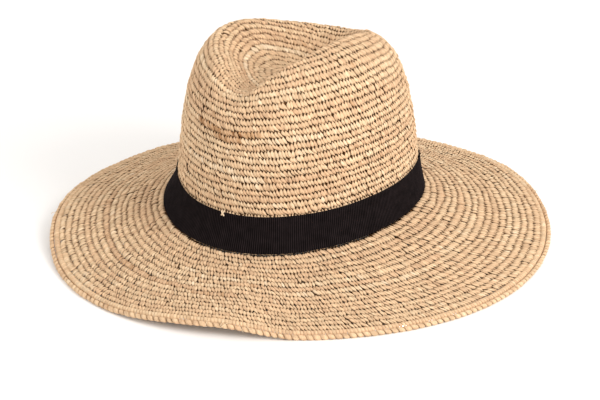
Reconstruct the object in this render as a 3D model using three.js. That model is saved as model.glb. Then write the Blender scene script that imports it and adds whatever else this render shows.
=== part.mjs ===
// A wide-brimmed sun hat crocheted in raffia, with a dented crown, a ribbon hatband,
// a wired brim edge and an inner sweatband. Millimetres, +Z up.
// The front of the hat faces -Y and the wearer's left is +X.
// The hat stands on the lowest parts of its brim edge, at z = 0, with the origin under the middle
// of the brim's outline. The shapes are worked out from the middle of the crown's foot.
import * as THREE from 'three';
import { mergeVertices } from 'three/addons/utils/BufferGeometryUtils.js';

// Stations round the hat, evenly spaced. Angles are in degrees from the front, towards +X.
const STATION_STEP = 6;
const FULL_TURN = 360;
// Touching pieces keep this distance.
const GAP = 0.3;

// Crown: an oval wall that flares where it meets the brim, most on the wearer's right, closed by a
// domed tip.
const HAT_POSITION = [-5.1, 5.5, 0];
const CROWN_HALF_WIDTH = 83;
const CROWN_HALF_LENGTH = 96.2;
const CROWN_HEIGHT = 126;
const CROWN_TAPER = 0.14;
const DOME_POWER = 4.9;
const FLARE_REACH = 5.4;
const FLARE_SIDE = { more: 3.6, towards: 300 };
const FLARE_HEIGHT = 30;
const CROWN_LEAN = [-0.4, -4.3];
const BREAK_HEIGHT = 23.5;
const BREAK_SIDE_RISE = 3;
const CROCHET_THICKNESS = 2.4;
// Rows of corners up each meridian: the tip's as shares of the whole, from its edge to the centre,
// and the side's as shares of the way from the hatband's upper edge to the tip.
const TIP_ROWS = [0.54, 0.6, 0.66, 0.71, 0.755, 0.8, 0.845, 0.89, 0.935, 0.975, 1];
const SIDE_ROWS = [0.35, 0.65, 0.85, 1];

// The top drops towards the back and, less, towards the front. It rises towards the wearer's left.
const BACK_DROP = { depth: 14, from: -15.5, over: 84 };
const FRONT_DROP = { depth: 8.6, from: 10, over: 80 };
const SIDE_RISE = { height: 6.3, over: 60 };

// Teardrop dent, pointed towards the front: distance from its centre to its ridge, by angle.
const DENT_CENTRE = [0, -4];
const DENT_DEPTH = 34;
const DENT_WALL = 0.7;
const DENT_EDGE = 0.75;
const DENT_RIDGE = [
  [0, 77], [13, 64], [22, 57], [38, 50], [60, 44], [90, 43], [120, 51], [150, 58],
  [180, 70], [215, 60], [250, 51], [290, 56], [322, 59], [340, 70], [349, 77],
];

// Brim: width out to the edge of the binding, the cosine and sine parts of its changes in one, two,
// three and four waves round the hat, and the wave of its edge above the table.
const BRIM_WIDTH = 81.2;
const BRIM_CHANGES = [[3.5, 7.4], [-4.3, -2.9], [0.4, -0.8], [0.7, -2.2]];
const BRIM_HOLLOW = 0.12;
const EDGE_WAVE = [
  [-30, 0], [-18, 0], [14, 6.4], [33, 0], [114, 0], [144, 2.3],
  [168, 0], [180, 0], [210, 3], [246, 0], [258, 0], [300, 6.3],
];

// Edge binding: a thick corded round with a slot for the wire, open towards the brim.
const BINDING_WIDTH = 5.6;
const BINDING_HEIGHT = 5;
const BINDING_WALL = 0.9;
const BINDING_SLOT = 4.2;
const BINDING_FLAT = [0.8, 4];
const WIRE_RADIUS = 0.6;
const WIRE_SIDES = 6;
const SLEEVE_INNER_RADIUS = 0.9;
const SLEEVE_OUTER_RADIUS = 1.2;
const SLEEVE_SLIT_ANGLE = 40;
const SLEEVE_SIDES = 8;
const WIRE_JOINT_ANGLE = 195;
const SLEEVE_HALF_ANGLE = 2.1;
const WIRE_END_ANGLE = 0.15;

// Ribbon hatband and inner sweatband. Each is a strip whose end laps over its start.
const BAND_ROWS = [0.8, 9, 17.5, 26.2];
const BAND_LAP_ANGLE = 12;
const HATBAND = { start: 192, thickness: 0.6 };
const SWEATBAND = { start: 168, thickness: 0.8 };
const TACK_ANGLES = [-3, 57, 117, 177, 237, 297];
const THREAD_THICKNESS = 0.6;
const STITCH_WIDTH = 1.4;
const STITCH_HALF_ANGLE = 1.6;
const TACK_LEG = 4;
const LAP_STITCH_ROWS = [6, 20];
const SWEATBAND_THREAD_ROW = 3;
const LABEL = { start: 204, end: 216, rows: [6, 13, 20], thickness: 0.5 };
const LABEL_STITCH_INSET = 2;

const radians = THREE.MathUtils.degToRad;

// A smooth step from 0 to 1.
function ease(amount) {
  const share = THREE.MathUtils.clamp(amount, 0, 1);
  return share * share * (3 - 2 * share);
}

// A value that swings smoothly through the knots and is level at each.
function swing(knots, angle) {
  const first = knots[0][0];
  const turned = THREE.MathUtils.euclideanModulo(angle - first, FULL_TURN) + first;
  const closed = [...knots, [first + FULL_TURN, knots[0][1]]];
  const next = closed.findIndex((knot, index) => index > 0 && turned <= knot[0]);
  const [a, from] = closed[next - 1];
  const [b, to] = closed[next];
  return from + (to - from) * (1 - Math.cos(Math.PI * (turned - a) / (b - a))) / 2;
}

// A closed smooth outline, given as a radius at each knot's angle.
function outlineRadius(knots, angle) {
  const turned = THREE.MathUtils.euclideanModulo(angle, FULL_TURN);
  const count = knots.length;
  const knot = (index) => {
    const turns = Math.floor(index / count);
    const [at, radius] = knots[index - turns * count];
    return [at + turns * FULL_TURN, radius];
  };
  let index = count - 1;
  while (knot(index)[0] > turned) index -= 1;
  const [before, a, b, after] = [-1, 0, 1, 2].map((step) => knot(index + step));
  const span = b[0] - a[0];
  const slopeA = (b[1] - before[1]) / (b[0] - before[0]) * span;
  const slopeB = (after[1] - a[1]) / (after[0] - a[0]) * span;
  const share = (turned - a[0]) / span;
  const square = share * share;
  const cube = square * share;
  return a[1] * (2 * cube - 3 * square + 1) + slopeA * (cube - 2 * square + share)
    + b[1] * (3 * square - 2 * cube) + slopeB * (cube - square);
}

function dentShare(x, y) {
  const dx = x - DENT_CENTRE[0];
  const dy = y - DENT_CENTRE[1];
  const angle = THREE.MathUtils.radToDeg(Math.atan2(dx, -dy));
  const ridge = outlineRadius(DENT_RIDGE, angle);
  const inward = Math.max(0, (1 - Math.hypot(dx, dy) / ridge) / DENT_WALL);
  return ease(inward ** DENT_EDGE);
}

function breakHeight(angle) {
  return BREAK_HEIGHT - BREAK_SIDE_RISE * Math.cos(2 * radians(angle));
}

// How far the foot of the crown flares out into the brim.
function flareReach(angle) {
  return FLARE_REACH + FLARE_SIDE.more * Math.cos(radians(angle - FLARE_SIDE.towards));
}

function edgeLift(angle) {
  return swing(EDGE_WAVE, angle);
}

// The crown's outer face. Spread runs from 1 at the brim to 0 at the centre of the tip.
function crownShape(angle, spread) {
  const turn = radians(angle);
  const rise = CROWN_HEIGHT * Math.max(0, 1 - spread ** DOME_POWER) ** (1 / DOME_POWER);
  const share = rise / CROWN_HEIGHT;
  const flare = flareReach(angle) * Math.max(0, 1 - rise / FLARE_HEIGHT) ** 2;
  const narrowed = spread * (1 - CROWN_TAPER * share);
  const x = (CROWN_HALF_WIDTH * narrowed + flare) * Math.sin(turn);
  const y = -(CROWN_HALF_LENGTH * narrowed + flare) * Math.cos(turn);
  const backDrop = BACK_DROP.depth * ease((y - BACK_DROP.from) / BACK_DROP.over);
  const frontDrop = FRONT_DROP.depth * ease((-y - FRONT_DROP.from) / FRONT_DROP.over);
  const sideRise = SIDE_RISE.height * ease(x / SIDE_RISE.over);
  const base = breakHeight(angle) * (1 - share) + BREAK_HEIGHT * share;
  const slope = (sideRise - backDrop - frontDrop) * share;
  const height = base + rise + slope - DENT_DEPTH * dentShare(x, y);
  return new THREE.Vector3(x + CROWN_LEAN[0] * share, y + CROWN_LEAN[1] * share, height);
}

// One meridian of the crown, from the brim to the centre, measured along its face.
const MERIDIAN_SAMPLES = 300;
const SAMPLE_CROWDING = 2.2;
const meridians = new Map();

function meridian(angle) {
  const key = THREE.MathUtils.euclideanModulo(angle, FULL_TURN).toFixed(3);
  if (meridians.has(key)) return meridians.get(key);
  const points = [];
  const lengths = [0];
  for (let i = 0; i <= MERIDIAN_SAMPLES; i += 1) {
    const spread = 1 - (i / MERIDIAN_SAMPLES) ** SAMPLE_CROWDING;
    points.push(crownShape(angle, spread));
    if (i > 0) lengths.push(lengths[i - 1] + points[i].distanceTo(points[i - 1]));
  }
  const path = { points, lengths, total: lengths[MERIDIAN_SAMPLES] };
  meridians.set(key, path);
  return path;
}

function crownPoint(angle, distance) {
  const { points, lengths, total } = meridian(angle);
  const wanted = THREE.MathUtils.clamp(distance, 0, total);
  const next = Math.max(1, lengths.findIndex((length) => length >= wanted));
  const share = (wanted - lengths[next - 1]) / (lengths[next] - lengths[next - 1]);
  return points[next - 1].clone().lerp(points[next], share);
}

function brimWidth(angle) {
  const turn = radians(angle);
  return BRIM_CHANGES.reduce((width, [cosine, sine], index) => (
    width + cosine * Math.cos((index + 1) * turn) + sine * Math.sin((index + 1) * turn)
  ), BRIM_WIDTH);
}

// The brim's upper face. Reach is the distance out from the crown.
function brimPoint(angle, reach) {
  const turn = radians(angle);
  const share = reach / brimWidth(angle);
  const inner = breakHeight(angle);
  const outer = edgeLift(angle) + (BINDING_HEIGHT + CROCHET_THICKNESS) / 2;
  return new THREE.Vector3(
    (CROWN_HALF_WIDTH + flareReach(angle) + reach) * Math.sin(turn),
    -(CROWN_HALF_LENGTH + flareReach(angle) + reach) * Math.cos(turn),
    inner + (outer - inner) * (share + BRIM_HOLLOW * Math.sin(Math.PI * share)),
  );
}

// A point set off from a face along its normal. Positive offsets leave the hat.
const SLOPE_STEP = 0.4;
const POLE_DISTANCE = 1;

function offsetPoint(face, angle, distance, offset) {
  const point = face(angle, distance);
  const atPole = face === crownPoint && meridian(angle).total - distance < POLE_DISTANCE;
  if (atPole) return point.add(new THREE.Vector3(0, 0, offset));
  const along = face(angle + SLOPE_STEP, distance).sub(face(angle - SLOPE_STEP, distance));
  const up = face(angle, distance + SLOPE_STEP).sub(face(angle, Math.max(0, distance - SLOPE_STEP)));
  const normal = along.cross(up).normalize();
  if (face === brimPoint) normal.negate();
  return point.addScaledVector(normal, offset);
}

// A closed solid from cross-sections that each list the same points in the same order.
function sweep(sections, closedLoop) {
  const count = sections[0].length;
  const positions = sections.flat().flatMap((point) => point.toArray());
  const faces = [];
  const addQuad = (a, b, c, d) => faces.push(a, b, c, a, c, d);
  const spans = closedLoop ? sections.length : sections.length - 1;
  for (let i = 0; i < spans; i += 1) {
    const here = i * count;
    const there = ((i + 1) % sections.length) * count;
    for (let j = 0; j < count; j += 1) {
      const k = (j + 1) % count;
      addQuad(here + j, there + j, there + k, here + k);
    }
  }
  if (!closedLoop) {
    const last = (sections.length - 1) * count;
    for (let j = 0; j < count / 2 - 1; j += 1) {
      addQuad(j, j + 1, count - 2 - j, count - 1 - j);
      addQuad(last + j, last + count - 1 - j, last + count - 2 - j, last + j + 1);
    }
  }
  return solidGeometry(positions, faces);
}

// Merges shared corners, drops faces that have no area and turns the faces outwards.
function solidGeometry(positions, faces) {
  const raw = new THREE.BufferGeometry();
  raw.setAttribute('position', new THREE.Float32BufferAttribute(positions, 3));
  raw.setIndex(faces);
  const merged = mergeVertices(raw, 1e-3);
  const place = merged.getAttribute('position');
  const corner = (index) => new THREE.Vector3().fromBufferAttribute(place, index);
  const kept = [];
  let volume = 0;
  for (let i = 0; i < faces.length; i += 3) {
    const [a, b, c] = [0, 1, 2].map((step) => merged.index.getX(i + step));
    if (a === b || b === c || c === a) continue;
    kept.push([a, b, c]);
    volume += corner(a).dot(corner(b).cross(corner(c)));
  }
  merged.setIndex(kept.flatMap(([a, b, c]) => (volume > 0 ? [a, b, c] : [a, c, b])));
  merged.computeVertexNormals();
  return merged;
}

// Every station from one angle to another, both ends included.
function stations(from, to, step = STATION_STEP) {
  const spans = Math.round((to - from) / step);
  return Array.from({ length: spans + 1 }, (_, i) => from + i * step);
}

// A layer of even thickness on a face, as one cross-section at an angle.
function layerSection(face, angle, distances, inner, thickness) {
  const near = distances.map((distance) => offsetPoint(face, angle, distance, inner));
  const far = distances.map((distance) => offsetPoint(face, angle, distance, inner + thickness));
  return [...far, ...near.reverse()];
}

// How far a lapping strip stands off at an angle, where its end climbs over its own start.
function lapOffset(band, angle) {
  const climb = (angle - band.start - FULL_TURN + BAND_LAP_ANGLE) / BAND_LAP_ANGLE;
  return (band.thickness + GAP) * THREE.MathUtils.clamp(climb, 0, 1);
}

// --- Crocheted body ---

const ROUND = stations(0, FULL_TURN - STATION_STEP);

function crownTip() {
  const sections = ROUND.map((angle) => {
    const { total } = meridian(angle);
    const [edge, ...inner] = TIP_ROWS.map((share) => share * total);
    const distances = [edge + GAP, ...inner];
    return layerSection(crownPoint, angle, distances, -CROCHET_THICKNESS, CROCHET_THICKNESS);
  });
  return sweep(sections, true);
}

function crownSide() {
  const sections = ROUND.map((angle) => {
    const top = meridian(angle).total * TIP_ROWS[0];
    const bandTop = BAND_ROWS[BAND_ROWS.length - 1];
    const upper = SIDE_ROWS.map((share) => bandTop + (top - bandTop) * share);
    const distances = [0, ...BAND_ROWS.slice(1), ...upper];
    return layerSection(crownPoint, angle, distances, -CROCHET_THICKNESS, CROCHET_THICKNESS);
  });
  return sweep(sections, true);
}

function brim() {
  const sections = ROUND.map((angle) => {
    const last = brimWidth(angle) - BINDING_WIDTH - GAP;
    const reaches = [GAP, last * 0.25, last * 0.5, last * 0.75, last];
    return layerSection(brimPoint, angle, reaches, -CROCHET_THICKNESS, CROCHET_THICKNESS);
  });
  return sweep(sections, true);
}

// --- Brim edge: binding, wire and the sleeve that joins the wire's ends ---

// A place in the edge binding's upright cross-section, out from its inner face and up from its foot.
function edgePoint(angle, out, up) {
  const turn = radians(angle);
  const reach = brimWidth(angle) - BINDING_WIDTH + out;
  return new THREE.Vector3(
    (CROWN_HALF_WIDTH + flareReach(angle) + reach) * Math.sin(turn),
    -(CROWN_HALF_LENGTH + flareReach(angle) + reach) * Math.cos(turn),
    edgeLift(angle) + up,
  );
}

// The same place on the straight run between the two nearest stations.
function edgeChordPoint(angle, out, up) {
  const before = Math.floor(angle / STATION_STEP) * STATION_STEP;
  const share = (angle - before) / STATION_STEP;
  return edgePoint(before, out, up).lerp(edgePoint(before + STATION_STEP, out, up), share);
}

function edgeBinding() {
  const top = BINDING_HEIGHT;
  const middle = BINDING_HEIGHT / 2;
  const [flatStart, flatEnd] = BINDING_FLAT;
  const shoulder = BINDING_WIDTH - 0.4;
  const lip = BINDING_WALL - GAP;
  const profile = [
    [0, lip], [flatStart, 0], [flatEnd, 0], [shoulder, 1], [BINDING_WIDTH, middle],
    [shoulder, top - 1], [flatEnd, top], [flatStart, top], [0, top - lip],
    [0, top - BINDING_WALL], [BINDING_SLOT, top - BINDING_WALL],
    [BINDING_SLOT, BINDING_WALL], [0, BINDING_WALL],
  ];
  const sections = ROUND.map((angle) => profile.map(([out, up]) => edgePoint(angle, out, up)));
  return sweep(sections, true);
}

// A point on a circle round the wire's centre, in the binding's cross-section.
function wirePoint(angle, radius, side) {
  const turn = radians(side);
  const out = BINDING_SLOT / 2 + radius * Math.cos(turn);
  const up = BINDING_HEIGHT / 2 + radius * Math.sin(turn);
  return edgeChordPoint(angle, out, up);
}

function edgeWire() {
  const start = WIRE_JOINT_ANGLE + WIRE_END_ANGLE;
  const end = WIRE_JOINT_ANGLE - WIRE_END_ANGLE + FULL_TURN;
  const first = Math.ceil(start / STATION_STEP) * STATION_STEP;
  const last = Math.floor(end / STATION_STEP) * STATION_STEP;
  const sides = stations(0, FULL_TURN - FULL_TURN / WIRE_SIDES, FULL_TURN / WIRE_SIDES);
  const sections = [start, ...stations(first, last), end].map((angle) => (
    sides.map((side) => wirePoint(angle, WIRE_RADIUS, side))
  ));
  return sweep(sections, false);
}

// The sleeve is a crimped strip, slit along its length.
function wireSleeve() {
  const opening = SLEEVE_SLIT_ANGLE / 2;
  const sides = stations(opening, FULL_TURN - opening, (FULL_TURN - 2 * opening) / SLEEVE_SIDES);
  const ends = [WIRE_JOINT_ANGLE - SLEEVE_HALF_ANGLE, WIRE_JOINT_ANGLE + SLEEVE_HALF_ANGLE];
  const sections = ends.map((angle) => [
    ...sides.map((side) => wirePoint(angle, SLEEVE_OUTER_RADIUS, side)),
    ...sides.map((side) => wirePoint(angle, SLEEVE_INNER_RADIUS, side)).reverse(),
  ]);
  return sweep(sections, false);
}

// --- Ribbon hatband, outside the crown ---

function hatband() {
  const end = HATBAND.start + FULL_TURN + BAND_LAP_ANGLE;
  const sections = stations(HATBAND.start, end).map((angle) => {
    const inner = GAP + lapOffset(HATBAND, angle);
    return layerSection(crownPoint, angle, BAND_ROWS, inner, HATBAND.thickness);
  });
  return sweep(sections, false);
}

// A tack hooks over the hatband's upper edge into the crochet.
function hatbandTack(angle) {
  const edge = BAND_ROWS[BAND_ROWS.length - 1];
  const face = GAP + HATBAND.thickness + GAP;
  const outer = face + THREAD_THICKNESS;
  const top = edge + GAP + THREAD_THICKNESS;
  const profile = [
    [edge - TACK_LEG, outer], [top, outer], [top, GAP],
    [edge + GAP, GAP], [edge + GAP, face], [edge - TACK_LEG, face],
  ];
  const half = THREE.MathUtils.radToDeg(STITCH_WIDTH / 2 / CROWN_HALF_WIDTH);
  const sections = [angle - half, angle + half].map((at) => (
    profile.map(([distance, offset]) => offsetPoint(crownPoint, at, distance, offset))
  ));
  return sweep(sections, false);
}

// A short thread laid on the crown's wall, near one row, at a given offset.
function stitch(angle, row, inner) {
  const rows = [row, row + STITCH_WIDTH];
  const sections = [angle - STITCH_HALF_ANGLE, angle + STITCH_HALF_ANGLE].map((at) => (
    layerSection(crownPoint, at, rows, inner, THREAD_THICKNESS)
  ));
  return sweep(sections, false);
}

function hatbandLapStitch(row) {
  const layers = 2 * (GAP + HATBAND.thickness);
  const angle = HATBAND.start + BAND_LAP_ANGLE - 2 * STITCH_HALF_ANGLE;
  return stitch(angle, row, layers + GAP);
}

// --- Sweatband, inside the crown ---

function insideOffset(depth) {
  return -(CROCHET_THICKNESS + GAP + depth);
}

function sweatband() {
  const end = SWEATBAND.start + FULL_TURN + BAND_LAP_ANGLE;
  const sections = stations(SWEATBAND.start, end).map((angle) => {
    const depth = lapOffset(SWEATBAND, angle) + SWEATBAND.thickness;
    return layerSection(crownPoint, angle, BAND_ROWS, insideOffset(depth), SWEATBAND.thickness);
  });
  return sweep(sections, false);
}

// The thread that holds the sweatband runs near its lower edge, from one side of the lap to the other.
function sweatbandThread() {
  const rows = [SWEATBAND_THREAD_ROW, SWEATBAND_THREAD_ROW + THREAD_THICKNESS];
  const from = SWEATBAND.start + BAND_LAP_ANGLE + STATION_STEP;
  const to = SWEATBAND.start + FULL_TURN - 2 * BAND_LAP_ANGLE;
  const depth = SWEATBAND.thickness + GAP + THREAD_THICKNESS;
  const sections = stations(from, to).map((angle) => (
    layerSection(crownPoint, angle, rows, insideOffset(depth), THREAD_THICKNESS)
  ));
  return sweep(sections, false);
}

function sweatbandLapStitch(row) {
  const layers = 2 * (SWEATBAND.thickness + GAP);
  const angle = SWEATBAND.start + BAND_LAP_ANGLE - 2 * STITCH_HALF_ANGLE;
  return stitch(angle, row, insideOffset(layers + THREAD_THICKNESS));
}

function sizeLabel() {
  const depth = SWEATBAND.thickness + GAP + LABEL.thickness;
  const sections = stations(LABEL.start, LABEL.end).map((angle) => (
    layerSection(crownPoint, angle, LABEL.rows, insideOffset(depth), LABEL.thickness)
  ));
  return sweep(sections, false);
}

function labelStitch(angle) {
  const depth = SWEATBAND.thickness + LABEL.thickness + 2 * GAP + THREAD_THICKNESS;
  return stitch(angle, LABEL.rows[1], insideOffset(depth));
}

// --- Assembly ---

const raffia = () => new THREE.MeshStandardMaterial({ color: 0xcfa978, roughness: 0.8 });
const ribbon = () => new THREE.MeshStandardMaterial({ color: 0x121214, roughness: 0.7 });
const steel = () => new THREE.MeshStandardMaterial({ color: 0xa9acb0, roughness: 0.35, metalness: 1 });
const cotton = () => new THREE.MeshStandardMaterial({ color: 0xd8c5a4, roughness: 0.9 });
const labelCloth = () => new THREE.MeshStandardMaterial({ color: 0xefece4, roughness: 0.85 });

const hat = new THREE.Group();
hat.position.set(...HAT_POSITION);

function addPiece(name, geometry, material) {
  const mesh = new THREE.Mesh(geometry, material);
  mesh.name = name;
  hat.add(mesh);
}

addPiece('crown_tip', crownTip(), raffia());
addPiece('crown_side', crownSide(), raffia());
addPiece('brim', brim(), raffia());
addPiece('brim_edge_binding', edgeBinding(), raffia());
addPiece('brim_edge_wire', edgeWire(), steel());
addPiece('wire_joint_sleeve', wireSleeve(), steel());
addPiece('hatband', hatband(), ribbon());
// The first tack is a tuft of raffia. The others are of thread, as black as the ribbon.
TACK_ANGLES.forEach((angle, index) => {
  const material = index === 0 ? raffia() : ribbon();
  addPiece(`hatband_tack_${index + 1}`, hatbandTack(angle), material);
});
LAP_STITCH_ROWS.forEach((row, index) => {
  addPiece(`hatband_lap_stitch_${index + 1}`, hatbandLapStitch(row), ribbon());
});
addPiece('sweatband', sweatband(), cotton());
addPiece('sweatband_thread', sweatbandThread(), cotton());
LAP_STITCH_ROWS.forEach((row, index) => {
  addPiece(`sweatband_lap_stitch_${index + 1}`, sweatbandLapStitch(row), cotton());
});
addPiece('size_label', sizeLabel(), labelCloth());
[LABEL.start + LABEL_STITCH_INSET, LABEL.end - LABEL_STITCH_INSET].forEach((angle, index) => {
  addPiece(`label_stitch_${index + 1}`, labelStitch(angle), cotton());
});

export default hat;
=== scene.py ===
import math

import bpy
import numpy as np
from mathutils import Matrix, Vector


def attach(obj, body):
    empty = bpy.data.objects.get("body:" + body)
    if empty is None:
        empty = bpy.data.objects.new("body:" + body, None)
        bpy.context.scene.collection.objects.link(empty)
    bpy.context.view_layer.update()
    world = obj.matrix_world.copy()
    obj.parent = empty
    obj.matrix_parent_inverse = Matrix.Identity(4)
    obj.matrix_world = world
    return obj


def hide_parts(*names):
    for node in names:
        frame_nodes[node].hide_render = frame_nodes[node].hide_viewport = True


# A wide-brimmed sun hat crocheted in raffia, stitch by stitch, with its ribbon, cloth and lights.
# Shapes are in millimetres in the frame of the CAD part, and add_piece turns them into metres.
# Angles are in degrees from the front of the hat (-Y) towards the wearer's left (+X).
MM = 0.001
SEED = 11

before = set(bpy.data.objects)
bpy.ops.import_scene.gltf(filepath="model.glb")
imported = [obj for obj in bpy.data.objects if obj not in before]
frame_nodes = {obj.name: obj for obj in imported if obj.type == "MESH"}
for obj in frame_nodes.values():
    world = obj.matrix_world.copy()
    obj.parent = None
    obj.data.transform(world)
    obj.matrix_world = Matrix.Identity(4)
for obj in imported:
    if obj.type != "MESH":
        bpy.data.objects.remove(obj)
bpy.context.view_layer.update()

# Crown and brim, as in the CAD part.
HAT_POSITION = (-5.1, 5.5, 0)
CROWN_HALF_WIDTH = 83
CROWN_HALF_LENGTH = 96.2
CROWN_HEIGHT = 126
CROWN_TAPER = 0.14
DOME_POWER = 4.9
FLARE_REACH = 5.4
FLARE_SIDE = (3.6, 300)
FLARE_HEIGHT = 30
CROWN_LEAN = (-0.4, -4.3)
BREAK_HEIGHT = 23.5
BREAK_SIDE_RISE = 3
BACK_DROP = (14, -15.5, 84)
FRONT_DROP = (8.6, 10, 80)
SIDE_RISE = (6.3, 60)
DENT_CENTRE = (0, -4)
DENT_DEPTH = 34
DENT_WALL = 0.7
DENT_EDGE = 0.75
DENT_RIDGE = (
    (0, 77), (13, 64), (22, 57), (38, 50), (60, 44), (90, 43), (120, 51), (150, 58),
    (180, 70), (215, 60), (250, 51), (290, 56), (322, 59), (340, 70), (349, 77),
)
BRIM_WIDTH = 81.2
BRIM_CHANGES = ((3.5, 7.4), (-4.3, -2.9), (0.4, -0.8), (0.7, -2.2))
BRIM_HOLLOW = 0.12
EDGE_WAVE = (
    (-30, 0), (-18, 0), (14, 6.4), (33, 0), (114, 0), (144, 2.3),
    (168, 0), (180, 0), (210, 3), (246, 0), (258, 0), (300, 6.3),
)
BINDING_WIDTH = 5.6
BINDING_HEIGHT = 5
CROCHET_THICKNESS = 2.4
GAP = 0.3

# Crochet: rounds from the middle of the tip to the break, and from there to the edge.
# Each form has the legs' slant, the relief of the stitch, how far it is pressed in, how much of
# its space the legs fill, its brightness, and how flat it is worn in the dent.
CROWN_ROUNDS = 43
TIP_ROUNDS = 20
WALL_SHARE = 0.3
BRIM_ROUNDS = 17
BRIM_FIRST_REACH = 0.4
BRIM_END = 5.8
STITCH_PITCH = 4.6
FEWEST_STITCHES = 6
STITCHES_PER_PIECE = 820
ROUND_WOBBLE = ((5, 0.05), (11, 0.06), (23, 0.05))
BAND_ROUND = 38
WALL_STITCH = {"slant": 0.5, "relief": 1.2, "press": 0.1, "fill": 1.0, "shade": 1.02, "worn": 0}
TIP_STITCH = {"slant": 0.45, "relief": 0.9, "press": 0.15, "fill": 1.0, "shade": 1.0, "worn": 0.75}
PRESSED_STITCH = {"slant": 0.5, "relief": 0.7, "press": 0.55, "fill": 1.0, "shade": 1.0, "worn": 0}
BRIM_STITCH = {"slant": 0.45, "relief": 0.95, "press": 0.1, "fill": 0.93, "shade": 1.0, "worn": 0}
STITCH_SCATTER = {"slant": 0.15, "size": 0.1, "shift": 0.03, "across": 0.05, "raised": 0.2}
EDGE_SCATTER = 0.09
WORN_SPREAD = 0.4

# Colour of the strands. A strand lasts for some stitches, and its hue runs from 0, dark, to 1, pale.
# A brown strand is a round, the angle where it starts and the angle where it ends. Both hues are
# given as their middle and their spread.
STRAND_STITCHES = (12, 60)
STRAND_HUE = (0.6, 0.09)
PALE = 0.95
STITCH_HUE_SCATTER = 0.08
BRIGHTNESS_SCATTER = 0.05
BROWN_STRANDS = ((24, -28, 16), (25, -12, 6))
BROWN_HUE = (0.2, 0.09)

# Brim edge: a corded round, then a round like a rope. Each strand is wound round a core.
# Groove shade is the painted shade on the sides of the strand, where two turns meet. Loose fibres
# stick out at the stray angles.
EDGE_CORD = {
    "out": 0.6, "up": 2.3, "core": 1.7, "thick": 0.55,
    "wide": 1.3, "pitch": 2.3, "bulge": 0.1, "groove_shade": 0.75,
}
EDGE_ROPE = {
    "out": 4.0, "up": 1.7, "core": 0.85, "thick": 0.75,
    "wide": 2.4, "pitch": 4.6, "bulge": 0.4, "groove_shade": 0.3,
}
COIL_STEPS = 14
COIL_SIDES = 8
COIL_SCATTER = 0.07
STRAY_ANGLES = (12, 15.5, 17, 18.5, 20, 83, 131, 228, 301)

# Ribbon hatband, sweatband and label. A stitch's offset is from the crown's face, and its turn is
# in degrees.
BAND_ROWS = (0.8, 26.2)
BAND_LAP_ANGLE = 12
HATBAND = {"start": 192, "thickness": 0.6}
SWEATBAND = {"start": 168, "thickness": 0.8}
RIB_PITCH = 1.4
RIB_HEIGHT = 0.12
SAMPLES_PER_RIB = 6
TACK_ANGLES = (-3, 57, 117, 177, 237, 297)
LAP_STITCH_ROWS = (6, 20)
SWEATBAND_THREAD_ROW = 3.3
LABEL = {"start": 204, "end": 216, "rows": (6, 20), "thickness": 0.5}
THREAD_RADIUS = {"tuft": 0.55, "tack": 0.22, "lap": 0.2, "running": 0.2, "label": 0.18, "stray": 0.16}
STITCH_OFFSET = {"ribbon": 2.25, "sweatband": -5.0, "label": -4.75}
LAP_STITCH_TURN = 2.4
LABEL_STITCH_TURN = 1.2
RUNNING_STITCH_TURN = 2.6

# Cloths: their darkest and lightest colour, and the scale of their threads in the bump. On the ribbon
# the colour runs towards the dark one in the rib grooves and towards the light one on the rib tops, as
# painted shade and painted highlight.
CLOTHS = {
    "ribbon": {
        "dark": (0.0002, 0.0002, 0.0002), "light": (0.024, 0.017, 0.018),
        "roughness": 0.8, "sheen": 0.0, "weave": 2500.0,
    },
    "sweatband_cloth": {
        "dark": (0.5, 0.38, 0.24), "light": (0.6, 0.47, 0.31),
        "roughness": 0.85, "sheen": 0.2, "weave": 1800.0,
    },
    "label_cloth": {
        "dark": (0.76, 0.73, 0.66), "light": (0.86, 0.84, 0.78),
        "roughness": 0.8, "sheen": 0.1, "weave": 2200.0,
    },
}
STEEL_COLOUR = (0.62, 0.63, 0.64)

# Raffia: its hues from the darkest to the lightest, and the painted shade colour that stands for the dark
# holes in the crochet.
RAFFIA_HUES = (
    (0.0, (0.30, 0.14, 0.06)),
    (0.12, (0.52, 0.31, 0.16)),
    (0.35, (0.65, 0.43, 0.265)),
    (0.55, (0.70, 0.48, 0.295)),
    (0.78, (0.75, 0.55, 0.35)),
    (1.0, (0.82, 0.65, 0.46)),
)
PAINTED_HOLE_SHADE = (0.12, 0.044, 0.008)

# Camera, floor and light. Distances are in metres, the lens in millimetres and powers in watts.
CAMERA_AZIMUTH = 30
CAMERA_ELEVATION = 24.5
CAMERA_DISTANCE = 1.5
CAMERA_TARGET = (-0.0051, 0.0055, 0.0171)
CAMERA_LENS = 126.9
FLOOR_REACH = 8
FLOOR_COLOUR = (0.93, 0.92, 0.91)
SKY_COLOUR = (1, 0.985, 0.965)
SKY_STRENGTH = 1.03
LIGHT_TARGET = (0, 0, 0.05)
LIGHTS = (
    {
        "name": "key", "azimuth": 80, "elevation": 32, "distance": 1.6,
        "size": 0.7, "watts": 15, "colour": (1, 0.97, 0.94),
    },
    {
        "name": "fill", "azimuth": -20, "elevation": 20, "distance": 2.0,
        "size": 1.2, "watts": 5, "colour": (1, 0.96, 0.92),
    },
)


# --- Shape of the hat ---


def ease(amount):
    """A smooth step from 0 to 1."""
    share = np.clip(amount, 0, 1)
    return share * share * (3 - 2 * share)


def swing(knots, angle):
    """A value that swings smoothly through the knots and is level at each."""
    first = knots[0][0]
    turned = (angle - first) % 360 + first
    at = np.array([knot[0] for knot in knots] + [first + 360.0])
    value = np.array([knot[1] for knot in knots] + [knots[0][1]], float)
    low = np.clip(np.searchsorted(at, turned, side="right") - 1, 0, len(at) - 2)
    share = (turned - at[low]) / (at[low + 1] - at[low])
    return value[low] + (value[low + 1] - value[low]) * (1 - np.cos(np.pi * share)) / 2


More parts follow.
